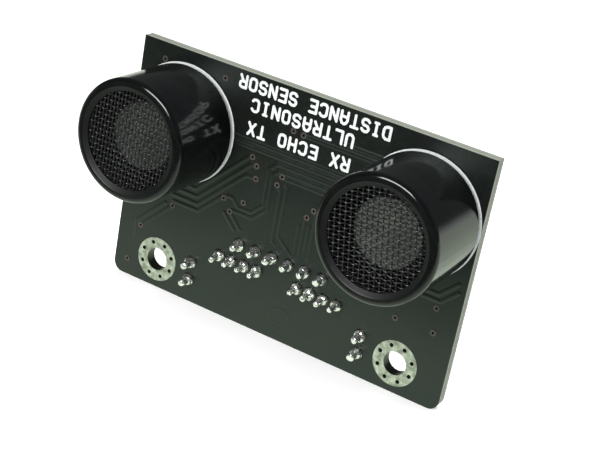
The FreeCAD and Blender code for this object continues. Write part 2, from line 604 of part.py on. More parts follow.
def chips():
    x, z = MICROCONTROLLER
    side = MICROCONTROLLER_SIDE
    thin_exit = (PACKAGE_LIFT + THIN_PACKAGE) / 2
    save("microcontroller_body", chip_body(x, z, (side, side, THIN_PACKAGE)))
    save("microcontroller_leads", lead_rows(x, z, MICROCONTROLLER_SIDE_LEADS, MICROCONTROLLER_PITCH,
                                            side / 2, *MICROCONTROLLER_LEAD, thin_exit, (0, 90, 180, 270)))
    exit_height = (PACKAGE_LIFT + SMALL_OUTLINE_HEIGHT) / 2
    for name, (x, z, leads) in SMALL_OUTLINE_CHIPS.items():
        length = leads * SMALL_OUTLINE_PITCH - PACKAGE_LIFT
        save(name + "_body", chip_body(x, z, (length, SMALL_OUTLINE_WIDTH, SMALL_OUTLINE_HEIGHT)))
        save(name + "_leads", lead_rows(x, z, leads, SMALL_OUTLINE_PITCH, SMALL_OUTLINE_WIDTH / 2,
                                        *SMALL_OUTLINE_LEAD, exit_height, (90, 270)))
    x, z = REGULATOR
    half = REGULATOR_SIZE[1] / 2
    tab_width, tab_length, tab_height = REGULATOR_TAB
    tab = block(centred(x, tab_width), (0, tab_height), (z + half, z + half + tab_length))
    save("regulator_body", chip_body(x, z, REGULATOR_SIZE))
    save("regulator_leads", lead_rows(x, z, 3, REGULATOR_PITCH, half, *REGULATOR_LEAD,
                                      (PACKAGE_LIFT + REGULATOR_SIZE[2]) / 2, (270,)) + [tab])
    x, z = TEMPERATURE_SENSOR
    half = TEMPERATURE_SENSOR_SIZE[1] / 2
    save("temperature_sensor_body", chip_body(x, z, TEMPERATURE_SENSOR_SIZE))
    save("temperature_sensor_leads",
         [lead for count, angle in ((2, 270), (1, 90))
          for lead in lead_rows(x, z, count, TEMPERATURE_SENSOR_PITCH, half, *TEMPERATURE_SENSOR_LEAD,
                                thin_exit, (angle,))])


def stadium(x, z, size, y_low):
    """A slab with two round ends, from y_low up to its own height."""
    length, width, y_high = size
    ends = [rod(x + side * (length - width) / 2, z, width / 2, y_low, y_high) for side in (-1, 1)]
    return fused([block(centred(x, length - width), (y_low, y_high), centred(z, width))] + ends)


def crystal():
    save("crystal_base", stadium(*CRYSTAL, CRYSTAL_BASE, 0))
    flange = stadium(*CRYSTAL, CRYSTAL_FLANGE, CRYSTAL_BASE[2])
    save("crystal_can", fused([flange, stadium(*CRYSTAL, CRYSTAL_CAN, CRYSTAL_FLANGE[2])]))


def capacitors():
    """Two electrolytic cans, each with a groove near its foot, on a base with two keyed corners."""
    bases = []
    for x, z in CAPACITORS:
        base = block(centred(x, CAPACITOR_BASE), (0, CAPACITOR_BASE_HEIGHT), centred(z, CAPACITOR_BASE))
        upright = [edge for edge in base.Edges if abs(edge.tangentAt(edge.FirstParameter).y) > 0.9]
        keyed = [edge for edge in upright if edge.CenterOfMass.z > z]
        bases.append(base.makeChamfer(0.9, keyed))
    save("capacitor_bases", bases)
    foot, r, top = CAPACITOR_BASE_HEIGHT, CAPACITOR_R, CAPACITOR_TOP
    outline = [(0, foot), (r, foot), (r, foot + 0.6), (CAPACITOR_GROOVE_R, foot + 0.8), (r, foot + 1.0),
               (r, top - 0.25), (r - 0.25, top), (0, top)]
    save("capacitor_cans", [turned(x, z, outline) for x, z in CAPACITORS])


def chip_parts(places, length, width, thickness, cap):
    """Small two-ended chips: their middles and their metal ends. Each place is (x, z, upright)."""
    middles, ends = [], []
    for x, z, upright in places:
        run, across = (z, x) if upright else (x, z)
        spans = [(run - length / 2, run - length / 2 + cap), (run + length / 2 - cap, run + length / 2)]
        inner = (spans[0][1], spans[1][0])
        for span, group in ((inner, middles), (spans[0], ends), (spans[1], ends)):
            sides = (centred(across, width), span) if upright else (span, centred(across, width))
            group.append(block(sides[0], (0, thickness), sides[1]))
    return middles, ends


def small_parts():
    resistors = [(-14.6, 14.2, True), (-13.2, 3.6, False), (-16.0, 14.2, True), (3.2, 10.0, True),
                 (13.6, 13.6, False), (13.6, 12.2, False), (20.8, 13.4, False), (6.8, 16.4, False),
                 (6.8, 18.0, False), (-6.0, 20.6, False), (-3.0, 22.4, False), (3.4, 22.4, False),
                 (17.4, 26.8, False), (-17.9, 26.6, False)]
    ceramics = [(-6.6, 16.0, True), (-5.6, 11.4, False), (11.4, 5.0, False), (15.6, 13.6, True),
                (22.8, 13.0, True), (-22.6, 12.4, True), (-17.9, 23.4, False), (0.2, 22.4, False),
                (7.2, 26.4, True), (-15.0, 24.6, True), (-2.4, 10.6, False), (9.6, 16.6, True)]
    sizes = {"chip_resistor": (resistors, CHIP_RESISTOR), "chip_capacitor": (ceramics, CHIP_CAPACITOR)}
    for name, (places, size) in sizes.items():
        middles, ends = chip_parts(places, *size)
        save(name + "_bodies", middles)
        save(name + "_ends", ends)


os.makedirs("parts", exist_ok=True)
board()
transducers()
solder()
connectors()
chips()
crystal()
capacitors()
small_parts()
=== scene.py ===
"""Looks of the ultrasonic distance sensor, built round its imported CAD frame.

The row frame is in metres: X along the board, Y out of its rear face, Z up. Sizes and places below are
named in millimetres and turned into metres where a mesh, light or camera is made.
"""

import json
import math
import random

import bmesh
import bpy
import numpy as np
from mathutils import Matrix, Vector, noise


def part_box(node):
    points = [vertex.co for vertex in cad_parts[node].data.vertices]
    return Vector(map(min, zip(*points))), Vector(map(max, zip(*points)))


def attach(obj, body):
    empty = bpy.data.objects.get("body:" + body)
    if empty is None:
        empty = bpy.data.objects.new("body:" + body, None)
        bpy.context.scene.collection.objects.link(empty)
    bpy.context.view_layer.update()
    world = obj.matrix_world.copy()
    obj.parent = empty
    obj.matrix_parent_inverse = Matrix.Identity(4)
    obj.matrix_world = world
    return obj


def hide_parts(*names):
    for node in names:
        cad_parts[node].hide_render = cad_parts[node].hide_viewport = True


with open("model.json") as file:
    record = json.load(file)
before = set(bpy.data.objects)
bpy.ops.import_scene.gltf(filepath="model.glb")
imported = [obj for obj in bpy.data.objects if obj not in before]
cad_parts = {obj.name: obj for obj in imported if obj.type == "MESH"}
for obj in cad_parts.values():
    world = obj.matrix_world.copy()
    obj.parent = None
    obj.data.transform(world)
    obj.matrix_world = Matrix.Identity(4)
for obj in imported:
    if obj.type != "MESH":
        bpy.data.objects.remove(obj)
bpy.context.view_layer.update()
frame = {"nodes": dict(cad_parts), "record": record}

MM = 0.001
FULL_TURN = 2 * math.pi
SLOT_OF = {part["node"]: part["material_slot"] for part in frame["record"]["subparts"]}

# ---- Sizes, in millimetres ----------------------------------------------------------------------
BOARD_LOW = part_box("solder_mask_front")[0] / MM
FRONT_Y = BOARD_LOW.y
FLOOR_Z = BOARD_LOW.z

WIRE_D = 0.2
PITCH_WIDE = 0.7
PITCH_NARROW = 0.515
WIRE_SIDES = 8
STEPS_PER_CROSSING = 8
WEFT_SWING = 0.18
WARP_SWING = 0.02

INK_THICKNESS = 0.06
STROKE_WIDTH = 0.35
CAP_HEIGHT = 1.9
CAP_WIDTH = 1.27
INK_CELL = 0.07

MOUND_HEIGHT = 0.62
MOUND_HEIGHT_VARIES = (0.8, 1.2)
MOUND_SHARE_OF_PAD = (0.76, 0.92)
MOUND_STEPS = 12
JOINT_SIDES = 32
JOINT_PINCH = 0.16
JOINT_LUMPS = 0.34
JOINT_SLANT = 0.5
LUMPS_FROM_RISE = 0.3
NECK_SHARE = 0.98
FLUX_THICKNESS = 0.03
FLUX_SPREAD = 0.14

CLOTH_PITCH = (0.55, 0.42)
PLY_PITCH = 0.36
LIP_BEVEL_R = (6.85, 7.05)
# Width of the fade into the painted shade inside the mounting pads' holes.
HOLE_SHADE_FADE = 0.1

# ---- Stage: millimetres, watts and radiance -----------------------------------------------------
KEY_PLACE = (-24, -183, 124)
KEY_SIZE = (120, 70)
KEY_WATTS = 0.38
KEY_AIM = (0, -10, 15)
BACK_PLACE = (40, 90, 190)
BACK_SIZE = (160, 120)
BACK_WATTS = 0.5
BACK_AIM = (0, 5, 12)

FLOOR_REACH = 3000.0
FLOOR_GAP = 0.02
FLOOR_GLOW = 0.2
FLOOR_FAR, FLOOR_NEAR = 0.08, 1.12
FLOOR_FADE_Y = (-62.0, -14.0)
SKY_SOFT = 0.85
SKY_REFLECTED = 0.09
SKY_HORIZON = 0.8
HORIZON_SOFT = 0.13
SKY_AHEAD = 0.3
SIDE_SOFT = 0.1

CAMERA_PLACE = (75.017, -147.966, 82.476)
CAMERA_AZIMUTH = 26.559
CAMERA_ELEVATION = 23.033
CAMERA_ROLL = 11.014
CAMERA_LENS = 84.03
CAMERA_SENSOR = 36.0


# ---- Mesh helpers -------------------------------------------------------------------------------
def piece(name, bm, material, smooth=True):
    """A finished mesh from millimetre coordinates, riding on the board."""
    bmesh.ops.recalc_face_normals(bm, faces=bm.faces)
    bmesh.ops.scale(bm, vec=(MM, MM, MM), verts=bm.verts)
    for face in bm.faces:
        face.smooth = smooth
    mesh = bpy.data.meshes.new(name)
    bm.to_mesh(mesh)
    bm.free()
    mesh.materials.append(material)
    obj = bpy.data.objects.new(name, mesh)
    bpy.context.scene.collection.objects.link(obj)
    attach(obj, "root")
    return obj


def ring_of(bm, points):
    return [bm.verts.new(p) for p in points]


def skin(bm, rings, finish_index=0):
    """Joins rings of the same number of points, and closes both ends with a fan."""
    faces = []
    for low, high in zip(rings, rings[1:]):
        for i in range(len(low)):
            j = (i + 1) % len(low)
            faces.append(bm.faces.new((low[i], low[j], high[j], high[i])))
    for ring in (rings[0], rings[-1]):
        centre = bm.verts.new(sum((v.co for v in ring), Vector()) / len(ring))
        for i in range(len(ring)):
            faces.append(bm.faces.new((ring[i], ring[(i + 1) % len(ring)], centre)))
    for face in faces:
        face.material_index = finish_index


# ---- Materials ----------------------------------------------------------------------------------
class Finish:
    """One material: a Principled shader and the textures that feed it, placed in millimetres."""

    def __init__(self, name, roughness, metallic=0.0, **sockets):
        self.material = bpy.data.materials.new(name)
        self.material.use_nodes = True
        self.nodes = self.material.node_tree.nodes
        self.links = self.material.node_tree.links
        self.shader = self.nodes["Principled BSDF"]
        self.set("Roughness", roughness)
        self.set("Metallic", metallic)
        for socket, value in sockets.items():
            self.set(socket.replace("_", " ").title().replace("Ior", "IOR"), value)
        where = self.nodes.new("ShaderNodeTexCoord")
        scale = self.nodes.new("ShaderNodeVectorMath")
        scale.operation = "SCALE"
        scale.inputs["Scale"].default_value = 1 / MM
        self.links.new(where.outputs["Object"], scale.inputs[0])
        self.place = scale.outputs[0]
        self.bumped = None

    def set(self, socket, value):
        self.shader.inputs[socket].default_value = value

    def feed(self, socket, source):
        self.links.new(source, self.shader.inputs[socket])

    def put(self, value, socket):
        """Feeds a node's input from another node, or sets it to a number, vector or colour."""
        if isinstance(value, bpy.types.NodeSocket):
            self.links.new(value, socket)
        else:
            socket.default_value = value

    def maths(self, operation, *values):
        node = self.nodes.new("ShaderNodeMath")
        node.operation = operation
        for value, socket in zip(values, node.inputs):
            self.put(value, socket)
        return node.outputs[0]

    def vector(self, operation, *values):
        node = self.nodes.new("ShaderNodeVectorMath")
        node.operation = operation
        for value, socket in zip(values, node.inputs):
            self.put(value, socket)
        return node

    def axis(self, name):
        split = self.nodes.new("ShaderNodeSeparateXYZ")
        self.links.new(self.place, split.inputs[0])
        return split.outputs[name]

    def ripple(self, axis, pitch):
        """A sine wave along one axis, from -1 to 1."""
        return self.maths("SINE", self.maths("MULTIPLY", self.axis(axis), FULL_TURN / pitch))

    def from_middle_of_board(self):
        """Distance from the plane half-way through the board."""
        return self.maths("ABSOLUTE", self.maths("SUBTRACT", self.axis("Y"), FRONT_Y / 2))

    def radius(self, centres):
        """Distance in the board's plane to the nearer of two points (x, z)."""
        reach = []
        for x, z in centres:
            away = self.vector("SUBTRACT", self.place, (x, 0, z)).outputs[0]
            flat = self.vector("MULTIPLY", away, (1, 0, 1)).outputs[0]
            reach.append(self.vector("LENGTH", flat).outputs["Value"])
        return self.maths("MINIMUM", *reach)

    def noise(self, size, detail=2.0, stretch=(1, 1, 1), where=None):
        """Noise whose blobs are about size millimetres, from 0 to 1."""
        node = self.nodes.new("ShaderNodeTexNoise")
        node.inputs["Scale"].default_value = 1 / size
        node.inputs["Detail"].default_value = detail
        source = where or self.place
        if stretch != (1, 1, 1):
            source = self.vector("MULTIPLY", source, stretch).outputs[0]
        self.links.new(source, node.inputs["Vector"])
        return node.outputs["Fac"]

    def spread(self, source, low, high, start=0.0, end=1.0, smooth=False):
        """Maps start..end onto low..high, and holds it there outside."""
        node = self.nodes.new("ShaderNodeMapRange")
        if smooth:
            node.interpolation_type = "SMOOTHSTEP"
        for socket, value in zip(("Value", "From Min", "From Max", "To Min", "To Max"),
                                 (source, start, end, low, high)):
            self.put(value, node.inputs[socket])
        return node.outputs[0]

    def blend(self, share, first, second):
        """A colour between two others."""
        node = self.nodes.new("ShaderNodeMix")
        node.data_type = "RGBA"
        self.put(share, node.inputs["Factor"])
        for value, name in ((first, "A"), (second, "B")):
            socket = next(s for s in node.inputs if s.name == name and s.type == "RGBA")
            self.put((*value, 1) if isinstance(value, tuple) else value, socket)
        return next(s for s in node.outputs if s.type == "RGBA")

    def relief(self, height, depth):
        """Adds bumps of that depth in millimetres."""
        node = self.nodes.new("ShaderNodeBump")
        node.inputs["Distance"].default_value = depth * MM
        self.links.new(height, node.inputs["Height"])
        if self.bumped:
            self.links.new(self.bumped, node.inputs["Normal"])
        self.bumped = node.outputs[0]
        self.feed("Normal", self.bumped)


def shade(colour, factor):
    return tuple(min(1.0, channel * factor) for channel in colour)


def mottled(name, colour, rough, metallic=0.0, vary=0.2, blotch=1.5, grain=0.12, depth=0.003, **sockets):
    """A surface whose colour drifts in blotches and whose gloss and relief vary in a fine grain."""
    finish = Finish(name, rough[0], metallic, **sockets)
    drift = finish.noise(blotch, 3)
    finish.feed("Base Color", finish.blend(finish.spread(drift, 0, 1, 0.3, 0.7),
                                           shade(colour, 1 - vary), shade(colour, 1 + vary)))
    fine = finish.noise(grain, 2)
    finish.feed("Roughness", finish.spread(fine, rough[0], rough[1], 0.3, 0.7))
    finish.relief(fine, depth)
    return finish


def solder_mask():
    """Satin black lacquer over copper and glass cloth."""
    finish = Finish("solder_mask", 0.3, specular_ior_level=0.58, specular_tint=(0.86, 1.0, 0.94, 1))
    copper = finish.noise(6.0, 1)
    colour = finish.blend(finish.spread(copper, 0, 1, 0.42, 0.58),
                          (0.0016, 0.0024, 0.0020), (0.0030, 0.0034, 0.0026))
    dust = finish.noise(0.12, 1)
    finish.feed("Base Color", finish.blend(finish.spread(dust, 0, 1, 0.76, 0.82),
                                           colour, (0.06, 0.06, 0.055)))
    skin_noise = finish.noise(0.35, 3)
    finish.feed("Roughness", finish.spread(skin_noise, 0.32, 0.44, 0.3, 0.7))
    finish.relief(skin_noise, 0.005)
    cloth = finish.maths("MULTIPLY", finish.ripple("X", CLOTH_PITCH[0]), finish.ripple("Z", CLOTH_PITCH[1]))
    finish.relief(cloth, 0.0008)
    return finish.material


def laminate(pads, pad_r):
    """Glass and epoxy board: plies of cloth at its sawn edge, with painted shade inside the small drilled
    holes.
    """
    finish = Finish("laminate", 0.6)
    plies = finish.ripple("Y", PLY_PITCH)
    yarns = finish.noise(0.12, 2, (0.35, 3.0, 0.35))
    mixed = finish.maths("ADD", finish.maths("MULTIPLY", plies, 0.25), yarns)
    pale = finish.blend(finish.spread(mixed, 0, 1, 0.25, 0.85), (0.13, 0.14, 0.11), (0.27, 0.29, 0.25))
    dark_core = finish.spread(finish.from_middle_of_board(), 0.75, 0.0, 0.05, 0.16)
    edge = finish.blend(dark_core, pale, (0.06, 0.065, 0.05))
    # Painted shade: near-black laminate within the mounting pads, which shows in their drilled holes.
    hole_shade = finish.spread(finish.radius(pads), 1.0, 0.0, pad_r - HOLE_SHADE_FADE, pad_r)
    finish.feed("Base Color", finish.blend(hole_shade, edge, (0.012, 0.014, 0.010)))
    finish.relief(yarns, 0.03)
    finish.relief(finish.noise(0.05, 2), 0.01)
    return finish.material


def levelled_tin():
    """Tin that has frozen in shallow waves, with painted shade inside the holes."""
    finish = Finish("tin", 0.25, 1.0)
    wave = finish.noise(0.8, 2)
    face = finish.blend(finish.spread(wave, 0, 1, 0.35, 0.65), (0.28, 0.30, 0.25), (0.60, 0.62, 0.55))
    # Painted shade: the tin is near-black inside the hole barrels, between the two faces.
    barrel_shade = finish.spread(finish.from_middle_of_board(), 1, 0, -FRONT_Y / 2 - 0.08, -FRONT_Y / 2 - 0.02)
    finish.feed("Base Color", finish.blend(barrel_shade, face, (0.05, 0.055, 0.04)))
    fine = finish.noise(0.1, 2)
    finish.feed("Roughness", finish.spread(fine, 0.3, 0.5, 0.3, 0.7))
    finish.relief(wave, 0.12)
    finish.relief(fine, 0.006)
    return finish.material


def via_ring():
    """Lacquer over a small copper ring, with near-black painted shade inside the hole."""
    finish = Finish("via_ring", 0.4)
    tone = finish.noise(0.2, 2)
    lacquer = finish.blend(finish.spread(tone, 0, 1, 0.3, 0.7), (0.030, 0.024, 0.021), (0.060, 0.048, 0.042))
    # Painted shade: near-black inside the via hole, behind the front face.
    inside = finish.spread(finish.axis("Y"), 0, 1, FRONT_Y + 0.02, FRONT_Y + 0.06)
    finish.feed("Base Color", finish.blend(inside, lacquer, (0.004, 0.002, 0.0015)))
    finish.relief(tone, 0.01)
    return finish.material


def printed_ink():
    """Screen-printed ink, thin in places and a little ragged."""
    finish = Finish("printed_ink", 0.55)
    thin = finish.noise(0.16, 3)
    finish.feed("Base Color", finish.blend(finish.spread(thin, 0, 1, 0.3, 0.55),
                                           (0.46, 0.50, 0.49), (0.68, 0.71, 0.70)))
    finish.relief(thin, 0.012)
    return finish.material


def glossy_can(centres):
    """Glossy black moulding with a matt bevel inside its lip and a few fine rubs along its side."""
    finish = Finish("glossy_can", 0.14, specular_ior_level=0.5)
    cloud = finish.noise(2.5, 3)
    colour = finish.blend(finish.spread(cloud, 0, 1, 0.35, 0.65),
                          (0.0020, 0.0024, 0.0026), (0.0036, 0.0040, 0.0042))
    speck = finish.noise(0.1, 1)
    finish.feed("Base Color", finish.blend(finish.spread(speck, 0, 1, 0.78, 0.84),
                                           colour, (0.05, 0.05, 0.048)))
    bevel = finish.spread(finish.radius(centres), 1.0, 0.0, *LIP_BEVEL_R)
    finish.feed("Specular IOR Level", finish.spread(bevel, 0.5, 0.3))
    rubs = finish.noise(0.3, 3, (3, 0.15, 3))
    body = finish.spread(rubs, 0.08, 0.16, 0.35, 0.7)
    finish.feed("Roughness", finish.maths("ADD", body, finish.maths("MULTIPLY", bevel, 0.4)))
    finish.relief(finish.noise(0.25, 2), 0.0025)
    finish.relief(rubs, 0.0015)
    return finish.material


def lacquered_wire(name, rough, level):
    """Woven wire under black lacquer."""
    finish = Finish(name, rough[0], 0.0, specular_ior_level=level)
    worn = finish.noise(0.5, 3)
    finish.feed("Base Color", finish.blend(finish.spread(worn, 0, 1, 0.55, 0.75),
                                           (0.012, 0.012, 0.013), (0.03, 0.03, 0.03)))
    fine = finish.noise(0.06, 2)
    finish.feed("Roughness", finish.spread(fine, rough[0], rough[1], 0.3, 0.7))
    finish.relief(fine, 0.004)
    return finish.material


def spun_metal(name, colour, centres, rough):
    """Thin metal turned on a lathe: rings about the nearer of two centres."""
    finish = Finish(name, rough[0], 1.0)
    joined = finish.nodes.new("ShaderNodeCombineXYZ")
    finish.links.new(finish.radius(centres), joined.inputs[0])
    rings = finish.noise(0.07, 3, where=joined.outputs[0])
    cloud = finish.noise(1.2, 3)
    finish.feed("Base Color", finish.blend(finish.spread(cloud, 0, 1, 0.3, 0.7), shade(colour, 0.82), colour))
    finish.feed("Roughness", finish.spread(rings, rough[0], rough[1], 0.3, 0.7))
    finish.relief(rings, 0.0012)
    return finish.material


def soldered():
    """Soft solder: bright where it froze smoothly, frosted in patches."""
    finish = Finish("soldered", 0.2, 0.95)
    patch = finish.noise(0.35, 2)
    finish.feed("Base Color", finish.blend(finish.spread(patch, 0, 1, 0.35, 0.65),
                                           (0.74, 0.75, 0.71), (0.96, 0.97, 0.94)))
    finish.feed("Roughness", finish.spread(patch, 0.2, 0.32, 0.35, 0.7))
    finish.relief(patch, 0.08)
    finish.relief(finish.noise(0.08, 2), 0.004)
    return finish.material


def moulding_resin(name, colour, rough):
    """Filled resin with the fine pits of a sand-blasted mould."""
    finish = mottled(name, colour, rough, vary=0.15, blotch=2.0, grain=0.08, depth=0.006)
    finish.relief(finish.noise(0.9, 2), 0.004)
    return finish.material


def drawn_metal(name, colour, rough, along):
    """Metal with the faint lines of drawing or brushing; along is how its grain is stretched."""
    finish = Finish(name, rough[0], 1.0)
    lines = finish.noise(0.1, 3, along)
    cloud = finish.noise(1.5, 3)
    finish.feed("Base Color", finish.blend(finish.spread(cloud, 0, 1, 0.3, 0.7), shade(colour, 0.85), colour))
    finish.feed("Roughness", finish.spread(lines, rough[0], rough[1], 0.3, 0.7))
    finish.relief(lines, 0.004)
    return finish.material


def transducer_centres():
    centres = []
    for side in ("transmitter", "receiver"):
        low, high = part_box(side + "_housing")
        middle = (low + high) / 2 / MM
        centres.append((middle.x, middle.z))
    return centres


def pad_centres():
    """The two mounting pads' middles, and their radius."""
    low, high = (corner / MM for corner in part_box("mounting_pads"))
    pad_r = (high.z - low.z) / 2
    return [(low.x + pad_r, low.z + pad_r), (high.x - pad_r, low.z + pad_r)], pad_r


CENTRES = transducer_centres()
FINISHES = {
    "laminate": laminate(*pad_centres()),
    "black_mask": solder_mask(),
    "tin": levelled_tin(),
    "via_rings": via_ring(),
    "white_ink": printed_ink(),
    "black_housing": glossy_can(CENTRES),
    "black_mesh": lacquered_wire("glossy_wire", (0.10, 0.2), 1.0),
    "black_resin": moulding_resin("black_resin", (0.02, 0.02, 0.02), (0.45, 0.6)),
    "spun_aluminium": spun_metal("spun_aluminium", (0.88, 0.90, 0.86), CENTRES, (0.24, 0.36)),
    "nickel_plate": spun_metal("nickel_plate", (0.42, 0.41, 0.39), CENTRES, (0.35, 0.55)),
    "ceramic": mottled("ceramic", (0.74, 0.72, 0.66), (0.45, 0.6), grain=0.1).material,
    "silicone": mottled("silicone", (0.45, 0.45, 0.42), (0.5, 0.7), vary=0.12,
                        subsurface_weight=0.1).material,
    "tinned_pins": drawn_metal("tinned_pins", (0.78, 0.78, 0.76), (0.22, 0.4), (3, 0.3, 3)),
    "solder": soldered(),
    "black_header": moulding_resin("black_header", (0.018, 0.018, 0.018), (0.35, 0.5)),
    "gold_pins": drawn_metal("gold_pins", (0.92, 0.70, 0.32), (0.18, 0.32), (3, 0.3, 3)),
    "white_nylon": mottled("white_nylon", (0.52, 0.50, 0.44), (0.35, 0.5), vary=0.06, blotch=3.0,
                           subsurface_weight=0.15, subsurface_radius=(0.001, 0.0008, 0.0006)).material,
    "chip_resin": moulding_resin("chip_resin", (0.022, 0.022, 0.023), (0.5, 0.65)),
    "steel_can": drawn_metal("steel_can", (0.72, 0.71, 0.69), (0.2, 0.34), (0.3, 3, 3)),
    "aluminium_can": drawn_metal("aluminium_can", (0.86, 0.86, 0.86), (0.22, 0.36), (3, 0.4, 3)),
    "resistor_glaze": mottled("resistor_glaze", (0.02, 0.02, 0.024), (0.2, 0.35), grain=0.1).material,
    "capacitor_ceramic": mottled("capacitor_ceramic", (0.42, 0.29, 0.17), (0.4, 0.55), blotch=0.5).material,
}


FLUX_FINISH = mottled("flux", (0.006, 0.005, 0.004), (0.1, 0.3),
                      vary=0.3, blotch=0.4, grain=0.2).material
WARP_FINISH = lacquered_wire("dull_wire", (0.3, 0.5), 0.35)


def dress_cad_nodes():
    for name, obj in frame["nodes"].items():
        obj.data.materials.clear()
        obj.data.materials.append(FINISHES[SLOT_OF[name]])


# ---- Woven meshes -------------------------------------------------------------------------------
def wire(bm, half, pitch, offset, across, along, centre, swing, finish_index):
    """One wire of that half length, offset from the centre, that swings over and under what it crosses."""
    rings = []
    steps = round(2 * half / pitch * STEPS_PER_CROSSING)
    radius = WIRE_D / 2
    for k in range(steps + 1):
        s = -half + 2 * half * k / steps
        phase = math.pi * s / pitch
        height = swing * math.cos(phase)
        slope = -swing * math.pi / pitch * math.sin(phase)
        middle = centre + along * s + across * offset + Vector((0, height, 0))
        tangent = (along + Vector((0, slope, 0))).normalized()
        normal = across.cross(tangent).normalized()
        rings.append(ring_of(bm, [middle + (across * math.cos(a) + normal * math.sin(a)) * radius
                                  for a in (FULL_TURN * i / WIRE_SIDES for i in range(WIRE_SIDES))]))
    skin(bm, rings, finish_index)


def woven_screen(side, pitch_x, pitch_z, angle):
    """A plain weave of round wires, cut round, in the space of the CAD screen."""
    low, high = (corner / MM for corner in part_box(side + "_mesh"))
    centre = (low + high) / 2
    reach = (high.x - low.x) / 2 - WIRE_D / 2
    turn = math.radians(angle)
    along_x = Vector((math.cos(turn), 0, math.sin(turn)))
    along_z = Vector((-math.sin(turn), 0, math.cos(turn)))
    bm = bmesh.new()
    weft = (pitch_z, pitch_x, along_x, along_z, WEFT_SWING)
    warp = (pitch_x, pitch_z, along_z, along_x, -WARP_SWING)
    for index, (pitch, crossing, along, across, swing) in enumerate((weft, warp)):
        count = int(reach / pitch)
        for i in range(-count, count + 1):
            offset = i * pitch
            half = math.sqrt(reach * reach - offset * offset)
            if half < crossing:
                continue
            turned = swing if i % 2 == 0 else -swing
            wire(bm, half, crossing, offset, across, along, centre, turned, index)
    screen = piece(side + "_woven_mesh", bm, FINISHES["black_mesh"])
    screen.data.materials.append(WARP_FINISH)
    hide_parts(side + "_mesh")


# ---- Solder joints ------------------------------------------------------------------------------
def round_ring(bm, centre, radius, rise):
    """A level circle of vertices, rise above the front face."""
    points = []
    for i in range(JOINT_SIDES):
        angle = FULL_TURN * i / JOINT_SIDES
        points.append(centre + Vector((math.cos(angle) * radius, -rise, math.sin(angle) * radius)))
    return ring_of(bm, points)


def joint_profile(mound_r, pin_r, height, stub):
    """Radius and rise of a mound with a domed side, then of the neck and tip of the pin."""
    steps = [k / MOUND_STEPS for k in range(MOUND_STEPS + 1)]
    mound = [(pin_r + (mound_r - pin_r) * math.sqrt(1 - t ** 2), height * t) for t in steps]
    neck = pin_r * NECK_SHARE
    return mound + [(neck, height + (stub - height) * 0.4), (neck, stub - 0.25),
                    (pin_r * 0.88, stub - 0.1), (pin_r * 0.55, stub)]


def solder_joint(bm, x, z, draw, pad_r, pin_r, height, stub):
    """Solder that has run up a clipped pin: a pinched, lumpy mound and a tip, in a collar of flux."""
    centre = Vector((x, FRONT_Y, z))
    skin(bm, [round_ring(bm, centre, pad_r + FLUX_SPREAD, 0),
              round_ring(bm, centre, pad_r + FLUX_SPREAD / 2, FLUX_THICKNESS)], 1)
    mound_r = pad_r * draw.uniform(*MOUND_SHARE_OF_PAD)
    wobble = Vector([draw.uniform(0, 50) for _ in range(3)])
    slant = Vector((draw.uniform(-JOINT_SLANT, JOINT_SLANT), 0, draw.uniform(-JOINT_SLANT, JOINT_SLANT)))
    pinch = draw.uniform(0, math.pi)
    rings = []
    for radius, rise in joint_profile(mound_r, pin_r, height, stub):
        points = []
        for i in range(JOINT_SIDES):
            angle = FULL_TURN * i / JOINT_SIDES
            direction = Vector((math.cos(angle), 0, math.sin(angle)))
            rough = noise.noise(wobble + direction * 0.8 + Vector((0, rise * 1.3, 0)))
            lobes = JOINT_PINCH * math.cos(2 * (angle - pinch)) * (radius - pin_r) / (mound_r - pin_r)
            lumps = JOINT_LUMPS * rough * min(1.0, rise / LUMPS_FROM_RISE)
            reach = max(radius * (1 + max(0.0, lobes) + lumps), min(radius, pin_r))
            lift = rise * (1 + 0.3 * slant.dot(direction) * radius)
            points.append(centre + direction * reach - Vector((0, lift, 0)))
        rings.append(ring_of(bm, points))
    skin(bm, rings)


def joints(name, pin_r, stub, seed):
    """Builds every joint of one CAD solder node, round the pins where they pass the front face."""
    draw = random.Random(seed)
    bm = bmesh.new()
    for low, high in islands(name):
        middle, pad_r = (low + high) / 2, (high.x - low.x) / 2
        height = MOUND_HEIGHT * draw.uniform(*MOUND_HEIGHT_VARIES)
        solder_joint(bm, middle.x, middle.z, draw, pad_r, pin_r, height, stub)
    made = piece(name + "_joints", bm, FINISHES["solder"])
    made.data.materials.append(FLUX_FINISH)
    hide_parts(name)


def islands(node):
    """The corners of the box round each separate solid of a node, in millimetres."""
    bm = bmesh.new()
    bm.from_mesh(frame["nodes"][node].data)
    bmesh.ops.remove_doubles(bm, verts=bm.verts, dist=1e-6)
    seen, found = set(), []
    for start in bm.verts:
        if start in seen:
            continue
        group, edge = [start], [start]
        seen.add(start)
        while edge:
            v = edge.pop()
            for e in v.link_edges:
                other = e.other_vert(v)
                if other not in seen:
                    seen.add(other)
                    group.append(other)
                    edge.append(other)
        low = Vector(min(v.co[i] for v in group) for i in range(3)) / MM
        high = Vector(max(v.co[i] for v in group) for i in range(3)) / MM
        found.append((low, high))
    bm.free()
    return sorted(found, key=lambda pair: (round(pair[0].x, 3), round(pair[0].z, 3)))


def front_joints():
    joints("header_solder", 0.47, 1.8, 11)
    joints("link_solder", 0.47, 1.8, 12)
    joints("bus_solder", 0.38, 2.0, 13)


